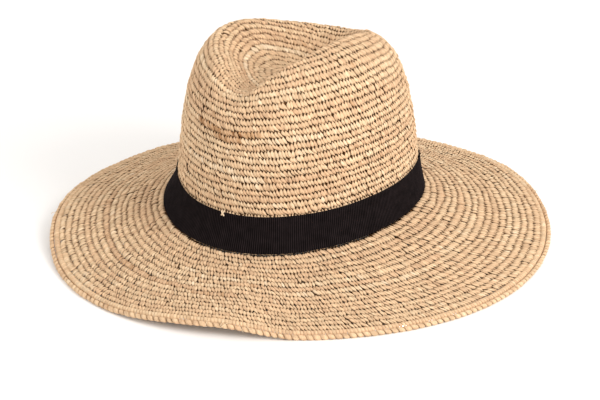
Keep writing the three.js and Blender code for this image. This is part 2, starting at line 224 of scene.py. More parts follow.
def outline_radius(knots, angle):
    """The radius of a closed smooth outline, given at each knot's angle."""
    at = np.array([knot[0] for knot in knots], float)
    radius = np.array([knot[1] for knot in knots], float)
    at = np.concatenate([at[-1:] - 360, at, at[:2] + 360])
    radius = np.concatenate([radius[-1:], radius, radius[:2]])
    turned = angle % 360
    low = np.clip(np.searchsorted(at, turned, side="right") - 1, 1, len(at) - 3)
    span = at[low + 1] - at[low]
    slope_a = (radius[low + 1] - radius[low - 1]) / (at[low + 1] - at[low - 1]) * span
    slope_b = (radius[low + 2] - radius[low]) / (at[low + 2] - at[low]) * span
    share = (turned - at[low]) / span
    square = share**2
    cube = share**3
    return (
        radius[low] * (2 * cube - 3 * square + 1)
        + slope_a * (cube - 2 * square + share)
        + radius[low + 1] * (3 * square - 2 * cube)
        + slope_b * (cube - square)
    )


def dent_share(x, y):
    """How much of the dent's depth is reached at a place on the tip."""
    dx = x - DENT_CENTRE[0]
    dy = y - DENT_CENTRE[1]
    ridge = outline_radius(DENT_RIDGE, np.degrees(np.arctan2(dx, -dy)))
    inward = np.clip((1 - np.hypot(dx, dy) / ridge) / DENT_WALL, 0, 1)
    return ease(inward**DENT_EDGE)


def break_height(angle):
    """Height of the line where the crown meets the brim."""
    return BREAK_HEIGHT - BREAK_SIDE_RISE * np.cos(2 * np.radians(angle))


def flare_reach(angle):
    """How far the foot of the crown flares out into the brim. It flares most on one side."""
    more, towards = FLARE_SIDE
    return FLARE_REACH + more * np.cos(np.radians(angle - towards))


def edge_lift(angle):
    """Height of the foot of the brim's edge above the table."""
    return swing(EDGE_WAVE, angle)


def crown_shape(angle, spread):
    """The crown's outer face. Spread runs from 1 at the brim to 0 at the centre of the tip."""
    turn = np.radians(angle)
    rise = CROWN_HEIGHT * np.maximum(0, 1 - spread**DOME_POWER) ** (1 / DOME_POWER)
    share = rise / CROWN_HEIGHT
    flare = flare_reach(angle) * np.maximum(0, 1 - rise / FLARE_HEIGHT) ** 2
    narrowed = spread * (1 - CROWN_TAPER * share)
    x = (CROWN_HALF_WIDTH * narrowed + flare) * np.sin(turn)
    y = -(CROWN_HALF_LENGTH * narrowed + flare) * np.cos(turn)
    depth, start, over = BACK_DROP
    drop = depth * ease((y - start) / over)
    depth, start, over = FRONT_DROP
    drop = drop + depth * ease((-y - start) / over)
    height, over = SIDE_RISE
    drop = drop - height * ease(x / over)
    base = break_height(angle) * (1 - share) + BREAK_HEIGHT * share
    height = base + rise - drop * share - DENT_DEPTH * dent_share(x, y)
    return np.stack([x + CROWN_LEAN[0] * share, y + CROWN_LEAN[1] * share, height], -1)


def unit(vectors):
    """The vectors at length 1."""
    return vectors / np.maximum(np.linalg.norm(vectors, axis=-1, keepdims=True), 1e-9)


def crown_grid(columns=721, rows=420):
    """Points and normals of the crown, at even angles and at even shares of each meridian."""
    angles = np.linspace(0, 360, columns)
    spread = 1 - np.linspace(0, 1, 401) ** 2.2
    fine = crown_shape(angles[:, None], spread[None, :])
    steps = np.linalg.norm(np.diff(fine, axis=1), axis=2)
    lengths = np.concatenate([np.zeros((columns, 1)), np.cumsum(steps, axis=1)], axis=1)
    points = np.zeros((columns, rows, 3))
    for column in range(columns):
        wanted = np.linspace(0, lengths[column, -1], rows)
        for axis in range(3):
            points[column, :, axis] = np.interp(wanted, lengths[column], fine[column, :, axis])
    ring = points[:-1]
    along = np.roll(ring, -1, axis=0) - np.roll(ring, 1, axis=0)
    up = np.gradient(ring, axis=1)
    normals = unit(np.cross(along, up))
    normals[:, -6:] = unit(normals[:, -7].mean(axis=0))
    normals = np.concatenate([normals, normals[:1]])
    return points, normals, lengths[:, -1]


CROWN_POINTS, CROWN_NORMALS, MERIDIAN_LENGTHS = crown_grid()


def crown_place(angle, share):
    """Points and normals on the crown's outer face. Share runs from 0 at the brim to 1 at the centre."""
    columns, rows = CROWN_POINTS.shape[:2]
    column = (angle % 360) / 360 * (columns - 1)
    row = np.clip(share, 0, 1) * (rows - 1)
    i = np.minimum(column.astype(int), columns - 2)
    j = np.minimum(row.astype(int), rows - 2)
    u = (column - i)[..., None]
    v = (row - j)[..., None]

    def blend(grid):
        near = grid[i, j] * (1 - u) + grid[i + 1, j] * u
        far = grid[i, j + 1] * (1 - u) + grid[i + 1, j + 1] * u
        return near * (1 - v) + far * v

    return blend(CROWN_POINTS), unit(blend(CROWN_NORMALS))


def wall_place(angle, distance):
    """Points and normals on the crown, at a distance in millimetres up from the brim."""
    degrees = np.linspace(0, 360, len(MERIDIAN_LENGTHS))
    total = np.interp(angle % 360, degrees, MERIDIAN_LENGTHS)
    return crown_place(angle, distance / total)


def brim_width(angle):
    """Width of the brim, out to the edge of its binding."""
    turn = np.radians(angle)
    width = np.full_like(turn, BRIM_WIDTH)
    for waves, (cosine, sine) in enumerate(BRIM_CHANGES, 1):
        width = width + cosine * np.cos(waves * turn) + sine * np.sin(waves * turn)
    return width


def brim_shape(angle, reach):
    """The brim's upper face. Reach is the distance out from the crown."""
    turn = np.radians(angle)
    share = reach / brim_width(angle)
    inner = break_height(angle)
    outer = edge_lift(angle) + (BINDING_HEIGHT + CROCHET_THICKNESS) / 2
    x = (CROWN_HALF_WIDTH + flare_reach(angle) + reach) * np.sin(turn)
    y = -(CROWN_HALF_LENGTH + flare_reach(angle) + reach) * np.cos(turn)
    z = inner + (outer - inner) * (share + BRIM_HOLLOW * np.sin(np.pi * share))
    return np.stack([x, y, z], -1)


def brim_place(angle, reach):
    """Points and normals on the brim's upper face."""
    along = brim_shape(angle + 0.4, reach) - brim_shape(angle - 0.4, reach)
    out = brim_shape(angle, reach + 0.4) - brim_shape(angle, reach - 0.4)
    return brim_shape(angle, reach), unit(np.cross(out, along))


# --- Meshes ---


def tube_quads(rings, sides, closed=False):
    """Faces of a tube of rings. Its ends are capped, unless it closes on itself."""
    spans = rings if closed else rings - 1
    ring, side = np.meshgrid(np.arange(spans), np.arange(sides), indexing="ij")
    after = (ring + 1) % rings
    beside = (side + 1) % sides
    corners = [ring * sides + side, ring * sides + beside, after * sides + beside, after * sides + side]
    quads = [np.stack(corners, -1).reshape(-1, 4)]
    if not closed:
        last = (rings - 1) * sides
        for i in range(sides // 2 - 1):
            cap = np.array([i, i + 1, sides - 2 - i, sides - 1 - i])
            quads.append(cap[None, ::-1])
            quads.append(cap[None] + last)
    return np.concatenate(quads)


def tube_uv(rings, sides, closed=False):
    """A flat place in the unit square for each corner of a tube's faces."""
    spans = rings if closed else rings - 1
    ring, side = np.meshgrid(np.arange(spans), np.arange(sides), indexing="ij")
    left = ring / spans
    right = (ring + 1) / spans
    low = side / sides
    high = (side + 1) / sides
    corners = [[left, low], [left, high], [right, high], [right, low]]
    uv = np.stack([np.stack(corner, -1) for corner in corners], -2).reshape(-1, 4, 2)
    if closed:
        return uv
    caps = []
    for i in range(sides // 2 - 1):
        cap = np.array([i, i + 1, sides - 2 - i, sides - 1 - i]) / sides
        caps.append(np.stack([np.full(4, 0.0), cap[::-1]], -1))
        caps.append(np.stack([np.full(4, 1.0), cap], -1))
    return np.concatenate([uv, np.array(caps)])


def signed_volume(points, quads):
    """Six times the volume inside the faces. It is negative where they point inwards."""
    a, b, c, d = (points[quads[:, corner]] for corner in range(4))
    return np.einsum("ij,ij->", a, np.cross(b, c)) + np.einsum("ij,ij->", a, np.cross(c, d))


def add_piece(name, points, quads, slot, replaces=(), uv=None, strand=None, tint=None):
    """Makes a smooth piece that belongs to the hat, from points in millimetres."""
    if signed_volume(points, quads) < 0:
        quads = quads[:, ::-1]
        uv = None if uv is None else uv[:, ::-1]
    mesh = bpy.data.meshes.new(name)
    mesh.vertices.add(len(points))
    mesh.vertices.foreach_set("co", ((points + HAT_POSITION) * MM).astype(np.float32).ravel())
    mesh.loops.add(quads.size)
    mesh.loops.foreach_set("vertex_index", quads.astype(np.int32).ravel())
    mesh.polygons.add(len(quads))
    mesh.polygons.foreach_set("loop_start", np.arange(0, quads.size, 4, dtype=np.int32))
    mesh.polygons.foreach_set("use_smooth", np.ones(len(quads), bool))
    if uv is not None:
        layer = mesh.uv_layers.new(name="OFBake")
        layer.uv.foreach_set("vector", uv.astype(np.float32).ravel())
    if strand is not None:
        layer = mesh.attributes.new("strand", "FLOAT_VECTOR", "POINT")
        layer.data.foreach_set("vector", strand.astype(np.float32).ravel())
    if tint is not None:
        layer = mesh.attributes.new("tint", "FLOAT_COLOR", "POINT")
        colour = np.concatenate([tint, np.ones((len(tint), 1))], 1)
        layer.data.foreach_set("color", colour.astype(np.float32).ravel())
    mesh.update(calc_edges=True)
    mesh.materials.append(MATERIALS[slot])
    piece = bpy.data.objects.new(name, mesh)
    bpy.context.scene.collection.objects.link(piece)
    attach(piece, "root")
    if replaces:
        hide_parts(*replaces)
    return piece


# --- Materials ---


def new_material(name, roughness, specular=0.5, metallic=0.0):
    """A material and its node tools."""
    material = bpy.data.materials.new(name)
    material.use_nodes = True
    nodes = material.node_tree.nodes
    shader = nodes["Principled BSDF"]
    shader.inputs["Roughness"].default_value = roughness
    shader.inputs["Specular IOR Level"].default_value = specular
    shader.inputs["Metallic"].default_value = metallic
    return material, nodes, material.node_tree.links, shader


def add_node(nodes, kind, **settings):
    """A node with its properties and its named inputs set."""
    node = nodes.new(kind)
    for key, value in settings.items():
        if hasattr(node, key):
            setattr(node, key, value)
        else:
            node.inputs[key.replace("_", " ")].default_value = value
    return node


def multiply(nodes, links, colour, factor):
    """A colour multiplied by a grey factor."""
    mix = nodes.new("ShaderNodeVectorMath")
    mix.operation = "SCALE"
    links.new(colour, mix.inputs[0])
    links.new(factor, mix.inputs["Scale"])
    return mix.outputs[0]


def map_range(nodes, links, value, low, high, to_low, to_high):
    """A value moved from one range to another."""
    node = add_node(nodes, "ShaderNodeMapRange")
    links.new(value, node.inputs["Value"])
    for name, number in zip(("From Min", "From Max", "To Min", "To Max"), (low, high, to_low, to_high)):
        node.inputs[name].default_value = number
    return node.outputs[0]


def raffia_material():
    """Dry split palm leaf. The tint attribute holds hue, brightness and painted shade in the stitch."""
    material, nodes, links, shader = new_material("raffia", 0.65, 0.06)
    tint = nodes.new("ShaderNodeAttribute")
    tint.attribute_name = "tint"
    split = nodes.new("ShaderNodeSeparateColor")
    links.new(tint.outputs["Color"], split.inputs[0])
    strand = nodes.new("ShaderNodeAttribute")
    strand.attribute_name = "strand"
    fibres = add_node(nodes, "ShaderNodeTexNoise", Scale=1.0, Detail=4.0, Roughness=0.65)
    links.new(strand.outputs["Vector"], fibres.inputs["Vector"])
    ramp = nodes.new("ShaderNodeValToRGB")
    for index, (position, colour) in enumerate(RAFFIA_HUES):
        stop = ramp.color_ramp.elements[index] if index < 2 else ramp.color_ramp.elements.new(position)
        stop.position = position
        stop.color = (*colour, 1)
    hue = nodes.new("ShaderNodeMath")
    hue.operation = "ADD"
    links.new(split.outputs[0], hue.inputs[0])
    links.new(map_range(nodes, links, fibres.outputs["Fac"], 0.3, 0.7, -0.16, 0.16), hue.inputs[1])
    links.new(hue.outputs[0], ramp.inputs[0])
    streaks = map_range(nodes, links, fibres.outputs["Fac"], 0.3, 0.7, 0.8, 1.12)
    colour = multiply(nodes, links, ramp.outputs[0], streaks)
    colour = multiply(nodes, links, colour, split.outputs[1])
    # Painted shade: where the stitch is deep, its colour is mixed towards the painted hole shade.
    depth = nodes.new("ShaderNodeMix")
    depth.data_type = "RGBA"
    depth.inputs["A"].default_value = (*PAINTED_HOLE_SHADE, 1)
    links.new(colour, depth.inputs["B"])
    links.new(split.outputs[2], depth.inputs["Factor"])
    links.new(depth.outputs["Result"], shader.inputs["Base Color"])
    bump = add_node(nodes, "ShaderNodeBump", Strength=0.6, Distance=0.0004)
    links.new(fibres.outputs["Fac"], bump.inputs["Height"])
    links.new(bump.outputs[0], shader.inputs["Normal"])
    shader.inputs["Sheen Weight"].default_value = 0.02
    shader.inputs["Sheen Tint"].default_value = (1, 0.8, 0.55, 1)
    return material


def cloth_material(name, dark, light, roughness, sheen, weave):
    """Woven cloth with a fine uneven colour and a bump of crossing threads."""
    material, nodes, links, shader = new_material(name, roughness, 0.03)
    place = nodes.new("ShaderNodeTexCoord")
    patches = add_node(nodes, "ShaderNodeTexNoise", Scale=180.0, Detail=5.0)
    links.new(place.outputs["Object"], patches.inputs["Vector"])
    mix = nodes.new("ShaderNodeMix")
    mix.data_type = "RGBA"
    mix.inputs["A"].default_value = (*dark, 1)
    mix.inputs["B"].default_value = (*light, 1)
    # The tint attribute's first channel sets where the colour lies between dark and light; on the ribbon it
    # holds the painted rib highlight and shade.
    tint = nodes.new("ShaderNodeAttribute")
    tint.attribute_name = "tint"
    split = nodes.new("ShaderNodeSeparateColor")
    links.new(tint.outputs["Color"], split.inputs[0])
    uneven = nodes.new("ShaderNodeMath")
    uneven.operation = "MULTIPLY"
    links.new(map_range(nodes, links, patches.outputs["Fac"], 0.3, 0.7, 0.5, 1.0), uneven.inputs[0])
    links.new(split.outputs[0], uneven.inputs[1])
    links.new(uneven.outputs[0], mix.inputs["Factor"])
    links.new(mix.outputs["Result"], shader.inputs["Base Color"])
    threads = add_node(nodes, "ShaderNodeTexNoise", Scale=weave, Detail=3.0)
    links.new(place.outputs["Object"], threads.inputs["Vector"])
    bump = add_node(nodes, "ShaderNodeBump", Strength=0.5, Distance=0.0002)
    links.new(threads.outputs["Fac"], bump.inputs["Height"])
    links.new(bump.outputs[0], shader.inputs["Normal"])
    shader.inputs["Sheen Weight"].default_value = sheen
    shader.inputs["Sheen Roughness"].default_value = 0.45
    return material


def steel_material():
    """Drawn spring wire, slightly uneven in gloss."""
    material, nodes, links, shader = new_material("wire", 0.35, 0.5, 1.0)
    place = nodes.new("ShaderNodeTexCoord")
    marks = add_node(nodes, "ShaderNodeTexNoise", Scale=400.0, Detail=3.0)
    links.new(place.outputs["Object"], marks.inputs["Vector"])
    gloss = map_range(nodes, links, marks.outputs["Fac"], 0.3, 0.7, 0.28, 0.45)
    links.new(gloss, shader.inputs["Roughness"])
    shader.inputs["Base Color"].default_value = (*STEEL_COLOUR, 1)
    return material


def floor_material():
    """Plain white paper."""
    material, nodes, links, shader = new_material("floor", 0.9, 0.1)
    shader.inputs["Base Color"].default_value = (*FLOOR_COLOUR, 1)
    return material


MATERIALS = {
    "raffia": raffia_material(),
    **{name: cloth_material(name, **cloth) for name, cloth in CLOTHS.items()},
    "wire": steel_material(),
}


# --- Crochet ---


def tube_template(centres, wide, thick, sides, across):
    """A short tube in stitch coordinates, as its centre line and its points' offsets from it."""
    turn = np.linspace(0, 2 * np.pi, sides, endpoint=False)
    line = np.repeat(np.array(centres, float)[:, None, :], sides, axis=1)
    offset = np.zeros_like(line)
    offset[:, :, across] = np.outer(wide, np.cos(turn))
    offset[:, :, 2] = np.outer(thick, np.sin(turn))
    return line.reshape(-1, 3), offset.reshape(-1, 3)


def stitch_template():
    """One stitch: two legs side by side, and a flat bar behind them that closes the fabric.

    Along runs over one stitch from -0.5 to 0.5, across from 0 at the stitch's top to 1 at its foot,
    and lift is in millimetres from the hat's outer face. Depth is painted shade: 1 on the lit top
    of a leg, less on its sides, ends and back, and low on the bar's outer side, seen through the holes.
    """
    down = np.array([0, 0.17, 0.35, 0.64, 0.83, 1])
    wide = np.array([0.07, 0.165, 0.295, 0.295, 0.16, 0.06])
    thick = np.array([0.3, 0.45, 0.55, 0.55, 0.4, 0.25])
    spread = np.array([0.235, 0.24, 0.245, 0.245, 0.24, 0.235])
    lift = np.array([-0.6, -0.25, -0.1, -0.2, -0.55, -0.9])
    # Painted shade along a leg: its ends, where they tuck under the next row, are painted darker.
    light = np.array([0.8, 0.97, 1, 0.98, 0.85, 0.5])
    sides = 8
    # Painted shade round a leg: its sides, where legs meet, and its back are painted darker.
    painted_side_shade = np.array([0.65, 0.95, 1, 0.95, 0.65, 0.4, 0.6, 0.4])
    parts = []
    for index, side in enumerate((-1, 1)):
        centres = np.stack([side * spread, down * 1.18 - 0.13, lift], -1)
        line, offset = tube_template(centres, wide, thick, sides, 0)
        uv = tube_uv(len(down), sides)[..., ::-1] * (0.36, 0.94) + (0.01 + 0.38 * index, 0.03)
        around, along = np.meshgrid(np.arange(sides) * 0.9, down * 1.1)
        depth = np.outer(light, painted_side_shade)
        parts.append((line, offset, tube_quads(len(down), sides), uv, around, along, depth))
    reach = np.array([-0.56, -0.2, 0.2, 0.56])
    centres = np.stack([reach, 0.06 + 0.1 * reach, [-2.0, -1.95, -1.95, -2.0]], -1)
    line, offset = tube_template(centres, np.array([0.4, 0.46, 0.46, 0.4]), np.full(4, 0.5), 6, 1)
    uv = tube_uv(4, 6)[..., ::-1] * (0.2, 0.94) + (0.78, 0.03)
    around, along = np.meshgrid(np.arange(6) * 0.9, reach * 1.1)
    # Painted shade on the bar: its outer side, seen through the holes, is painted nearly dark.
    depth = np.tile([0.3, 0.05, 0.05, 0.3, 0.9, 0.9], (4, 1))
    parts.append((line, offset, tube_quads(4, 6), uv, around, along, depth))
    firsts = np.cumsum([0] + [len(item[0]) for item in parts])
    return {
        "line": np.concatenate([item[0] for item in parts]),
        "offset": np.concatenate([item[1] for item in parts]),
        "quads": np.concatenate([item[2] + first for item, first in zip(parts, firsts)]),
        "uv": np.concatenate([item[3] for item in parts]),
        "around": np.concatenate([item[4].ravel() for item in parts]),
        "fibre": np.concatenate([item[5].ravel() for item in parts]),
        "depth": np.concatenate([item[6].ravel() for item in parts]),
        "part": np.concatenate([np.full(len(item[0]), index) for index, item in enumerate(parts)]),
    }


def round_wobble(boundary, angle):
    """How far a line between two rounds strays, in rows."""
    phases = np.random.default_rng(SEED + 1000 + boundary).random(len(ROUND_WOBBLE)) * 2 * np.pi
    return sum(
        size * np.sin(waves * np.radians(angle) + phase)
        for (waves, size), phase in zip(ROUND_WOBBLE, phases)
    )


def stitch_edges(place, row, rng):
    """The angles between the stitches of one round, about evenly spaced along it."""
    angles = np.linspace(0, 360, 1441)
    ring, _ = place(angles, np.full_like(angles, row + 0.5))
    run = np.concatenate([[0], np.cumsum(np.linalg.norm(np.diff(ring, axis=0), axis=1))])
    count = max(FEWEST_STITCHES, round(run[-1] / STITCH_PITCH))
    jitter = rng.uniform(-EDGE_SCATTER, EDGE_SCATTER, count)
    shares = (np.arange(count + 1) + np.append(jitter, jitter[0]) + rng.random()) / count
    return np.interp(shares % 1 * run[-1], run, angles) + 360 * np.floor(shares)


def work_round(place, row, template, rng, form):
    """The points and strand coordinates of one round of stitches, and where each stitch is."""
    part = template["part"]
    edges = stitch_edges(place, row, rng)
    count = len(edges) - 1
    middle = (edges[1:] + edges[:-1])[:, None] / 2
    width = np.diff(edges)[:, None]
    centre, _ = place(middle[:, 0], np.full(count, row + 0.5))
    dented = dent_share(centre[:, 0] - CROWN_LEAN[0], centre[:, 1] - CROWN_LEAN[1])
    worn = form["worn"] * dented[:, None]
    slant = form["slant"] + rng.normal(0, STITCH_SCATTER["slant"], (count, 1))
    size = rng.normal(1, STITCH_SCATTER["size"], (count, 3))[:, part]
    shift = rng.normal(0, STITCH_SCATTER["shift"], (count, 3))[:, part]
    line = template["line"][None]
    offset = template["offset"][None]
    lean = slant * (line[..., 1] - 0.5) * (0.6 + 0.8 * line[..., 1])
    spread = offset[..., 0] * size * (form["fill"] + WORN_SPREAD * worn)
    angle = middle + width * (line[..., 0] + spread + shift + lean)
    across = line[..., 1] + offset[..., 1] + rng.normal(0, STITCH_SCATTER["across"], (count, 3))[:, part]
    above = round_wobble(row, angle)
    below = round_wobble(row + 1, angle)
    where = row + across + above * (1 - across) + below * across
    raised = rng.normal(0, STITCH_SCATTER["raised"], (count, 3))[:, part]
    lift = (line[..., 2] + raised) * form["relief"] + offset[..., 2] * size - form["press"]
    base, normal = place(angle, where)
    placed = base + normal * (lift * (1 - worn))[..., None]
    seeds = rng.random((count, 3)) * 40
    fibre = np.stack(
        [
            np.broadcast_to(template["around"], angle.shape),
            np.broadcast_to(template["fibre"], angle.shape),
            seeds[:, part],
        ],
        -1,
    )
    return placed.reshape(-1, 3), fibre.reshape(-1, 3), middle[:, 0] % 360


def strand_hues(count, rng):
    """A hue for each stitch of a long run. A strand of raffia lasts for some stitches."""
    hues = []
    while len(hues) < count:
        stitches = int(rng.integers(*STRAND_STITCHES))
        hue = float(np.clip(rng.normal(*STRAND_HUE), 0.3, 1))
        hues += [hue] * stitches
    return np.array(hues[:count])


def stitch_tints(middles, rows, part, depth, rng, shade, browns):
    """Hue, brightness and painted shade for every point of a run of stitches."""
    count = len(middles)
    hue = strand_hues(count, rng)[:, None] + rng.normal(0, STITCH_HUE_SCATTER, (count, 3))
    turned = (middles + 180) % 360 - 180
    for row, start, end in browns:
        inside = (rows == row) & (turned > start) & (turned < end)
        hue[inside] = rng.normal(*BROWN_HUE, (int(inside.sum()), 3))
    bright = rng.normal(shade, BRIGHTNESS_SCATTER, (count, 3))
    painted_depth_shade = np.broadcast_to(depth, (count, len(part)))
    return np.clip(np.stack([hue[:, part], bright[:, part], painted_depth_shade], -1), 0, 1.3).reshape(-1, 3)


def crochet(name, place, first_row, last_row, node, form, browns=()):
    """Works the rounds from one row to another as pieces of a manageable size."""
    template = stitch_template()
    batches = [[]]
    for row in range(first_row, last_row):
        rng = np.random.default_rng(SEED * 100 + row)
        points, fibre, middles = work_round(place, row, template, rng, form)
        if sum(len(item[2]) for item in batches[-1]) + len(middles) > STITCHES_PER_PIECE:
            batches.append([])
        batches[-1].append((points, fibre, middles, np.full(len(middles), row)))
    for number, batch in enumerate(batches, 1):
        points, fibre, middles, rows = (np.concatenate(item) for item in zip(*batch))
        count = len(middles)
        rng = np.random.default_rng(SEED * 1000 + first_row * 10 + number)
        tint = stitch_tints(middles, rows, template["part"], template["depth"], rng, form["shade"], browns)
        firsts = np.arange(count)[:, None, None] * len(template["part"])
        quads = (template["quads"][None] + firsts).reshape(-1, 4)
        cells = math.ceil(math.sqrt(count))
        corner = np.stack([np.arange(count) % cells, np.arange(count) // cells], -1)
        uv = (template["uv"][None] + corner[:, None, None, :]) / cells
        add_piece(f"{name}_{number}", points, quads, "raffia", [node], uv.reshape(-1, 4, 2), fibre, tint)


def crown_row_place(angle, row):
    """The crown's face, by rows counted from the centre of the tip. Wall rows are equally wide."""
    risen = 1 - row / CROWN_ROUNDS
    length = np.interp(angle % 360, np.linspace(0, 360, len(MERIDIAN_LENGTHS)), MERIDIAN_LENGTHS)
    even = MERIDIAN_LENGTHS.mean()
    distance = risen * even + (length - even) * ease((risen - WALL_SHARE) / (1 - WALL_SHARE))
    return crown_place(angle, distance / length)


def brim_row_place(angle, row):
    """The brim's face, by rows counted from the crown."""
    worked = brim_width(angle) - BRIM_END - BRIM_FIRST_REACH
    return brim_place(angle, BRIM_FIRST_REACH + worked * row / BRIM_ROUNDS)


crochet("crown_tip_rounds", crown_row_place, 0, TIP_ROUNDS, "crown_tip", TIP_STITCH)
crochet(
    "crown_side_rounds", crown_row_place, TIP_ROUNDS, BAND_ROUND, "crown_side", WALL_STITCH, BROWN_STRANDS,
)
crochet("crown_foot_rounds", crown_row_place, BAND_ROUND, CROWN_ROUNDS, "crown_side", PRESSED_STITCH)
crochet("brim_rounds", brim_row_place, 0, BRIM_ROUNDS, "brim", BRIM_STITCH)


# --- Brim edge ---


def edge_shape(angle, out, up):
    """A place near the brim's edge, out from the inner face of the binding and up from its foot."""
    turn = np.radians(angle)
    reach = brim_width(angle) - BINDING_WIDTH + out
    x = (CROWN_HALF_WIDTH + flare_reach(angle) + reach) * np.sin(turn)
    y = -(CROWN_HALF_LENGTH + flare_reach(angle) + reach) * np.cos(turn)
    return np.stack([x, y, edge_lift(angle) + up], -1)


def coil(name, form, rng, replaces):
    """A strand wound round a core that follows the brim's edge."""
    angles = np.linspace(0, 360, 2881)
    line = edge_shape(angles, form["out"], form["up"])
    run = np.concatenate([[0], np.cumsum(np.linalg.norm(np.diff(line, axis=0), axis=1))])
    turns = round(run[-1] / form["pitch"])
    pitch = run[-1] / turns
    rings = turns * COIL_STEPS
    winding = np.arange(rings) / COIL_STEPS
    size = np.repeat(rng.normal(1, COIL_SCATTER, turns), COIL_STEPS)
    size = (size + np.roll(size, 3) + np.roll(size, 6)) / 3
    around = -2 * np.pi * winding
    side = np.linspace(0, 2 * np.pi, COIL_SIDES, endpoint=False)
    bulge = 1 + form["bulge"] * np.cos(around)
    length = winding[:, None] * pitch + np.outer(form["wide"] * size, np.cos(side))
    radius = form["core"] + np.outer(form["thick"] * size * bulge, 1 + np.sin(side)) - form["thick"]
    angle = np.interp(length % run[-1], run, angles)
    centre = edge_shape(angle, form["out"], form["up"])
    after = edge_shape(angle + 0.2, form["out"], form["up"])
    before = edge_shape(angle - 0.2, form["out"], form["up"])
    ahead = unit(after - before)
    upward = np.array([0, 0, 1.0])
    outward = unit(np.cross(ahead, upward))
    over = np.cross(outward, ahead)
    points = centre + radius[..., None] * (
        np.cos(around)[:, None, None] * outward + np.sin(around)[:, None, None] * over
    )
    points[..., 2] = np.maximum(points[..., 2], 0.05)
    groove_shade = form["groove_shade"]
    # Painted shade on the coil: the sides where turns meet get the groove shade, and the inside of the
    # winding is painted dark.
    painted_side_shade = np.tile([groove_shade, 0.9, 1, 0.9, groove_shade, 0.2, 0.2, 0.2], (rings, 1))
    hue = np.repeat(strand_hues(turns, rng) + rng.normal(0, STITCH_HUE_SCATTER, turns), COIL_STEPS)
    bright = np.repeat(rng.normal(1, BRIGHTNESS_SCATTER, turns), COIL_STEPS)
    shape = painted_side_shade.shape
    tint = np.stack(
        [np.broadcast_to(hue[:, None], shape), np.broadcast_to(bright[:, None], shape), painted_side_shade], -1
    )
    fibre = np.stack(
        [
            np.broadcast_to(np.arange(COIL_SIDES)[None] * 0.9, shape),
            np.broadcast_to(winding[:, None] * 2.5, shape),
            np.full(shape, 3.0),
        ],
        -1,
    )
    cells = math.ceil(math.sqrt(turns))
    turn_index = np.repeat(np.arange(turns), COIL_STEPS * COIL_SIDES)
    flat = tube_uv(rings, COIL_SIDES, closed=True)
    flat[..., 0] = flat[..., 0] * turns - turn_index[:, None]
    corner = np.stack([turn_index % cells, turn_index // cells], -1)
    uv = (flat * 0.94 + 0.03 + corner[:, None, :]) / cells
    quads = tube_quads(rings, COIL_SIDES, closed=True)
    add_piece(
        name, points.reshape(-1, 3), quads, "raffia", replaces, uv, fibre.reshape(-1, 3),
        np.clip(tint, 0, 1.3).reshape(-1, 3),
    )


coil("brim_edge_cord", EDGE_CORD, np.random.default_rng(SEED + 1), ["brim_edge_binding"])
coil("brim_edge_rope", EDGE_ROPE, np.random.default_rng(SEED + 2), ["brim_edge_binding"])


# --- Ribbon, sweatband, label and threads ---


def strip_stations(start, end, spacing):
    """Angles along the crown's wall from start to end, evenly spaced in length."""
    angles = np.linspace(start, end, 4000)
    line, _ = wall_place(angles, np.full_like(angles, 13.0))
    run = np.concatenate([[0], np.cumsum(np.linalg.norm(np.diff(line, axis=0), axis=1))])
    count = round(run[-1] / spacing)
    lengths = np.linspace(0, run[-1], count + 1)
    return np.interp(lengths, run, angles), lengths


def cloth_strip(name, angles, rows, inner, thickness, relief, slot, replaces, shade=None):
    """A strip of cloth on the crown's wall: inner and thickness are offsets from the crown's face."""
    share = (rows - rows[0]) / (rows[-1] - rows[0])
    edge = np.clip(np.minimum(share, 1 - share) * (rows[-1] - rows[0]) / thickness, 0, 1)
    rounding = 0.35 + 0.65 * np.sqrt(1 - (1 - edge) ** 2)
    grid_angle = np.repeat(angles[:, None], len(rows), axis=1)
    grid_row = np.repeat(rows[None, :], len(angles), axis=0)
    base, normal = wall_place(grid_angle, grid_row)
    middle = inner + thickness / 2
    half = thickness / 2 * rounding[None, :]
    outer_face = base + normal * (middle + half + relief)[..., None]
    inner_face = base + normal * (middle - half + relief)[..., None]
    across = len(rows)
    loop = np.concatenate([outer_face, inner_face[:, ::-1]], axis=1)
    quads = tube_quads(len(angles), 2 * across)
    # Shade runs from 0 to 1 between the cloth's dark and light colours; on the ribbon it is painted
    # highlight and shade on the ribs.
    shade = np.full(len(angles), 0.6) if shade is None else shade
    tint = np.repeat(shade, 2 * across)[:, None] * (1, 1, 1)
    return add_piece(
        name, loop.reshape(-1, 3), quads, slot, replaces, folded_uv(len(angles), 2 * across), tint=tint,
    )


def folded_uv(rings, sides, folds=8):
    """The flat places of a long strip, cut into lengths that lie side by side."""
    uv = tube_uv(rings, sides)
    spans = rings - 1
    per_fold = math.ceil(spans / folds)
    ring = np.repeat(np.arange(spans), sides)
    fold = ring // per_fold
    body = uv[: spans * sides]
    body[..., 0] = (body[..., 0] * spans - (fold * per_fold)[:, None]) / per_fold
    body[..., 1] = (body[..., 1] * 0.92 + 0.04 + fold[:, None]) / folds
    uv[spans * sides:] *= (1.0, 0.02)
    return uv


def lap(band, angle):
    """How far a lapping strip stands off where its end climbs over its own start."""
    climb = (angle - band["start"] - 360 + BAND_LAP_ANGLE) / BAND_LAP_ANGLE
    return (band["thickness"] + GAP) * np.clip(climb, 0, 1)


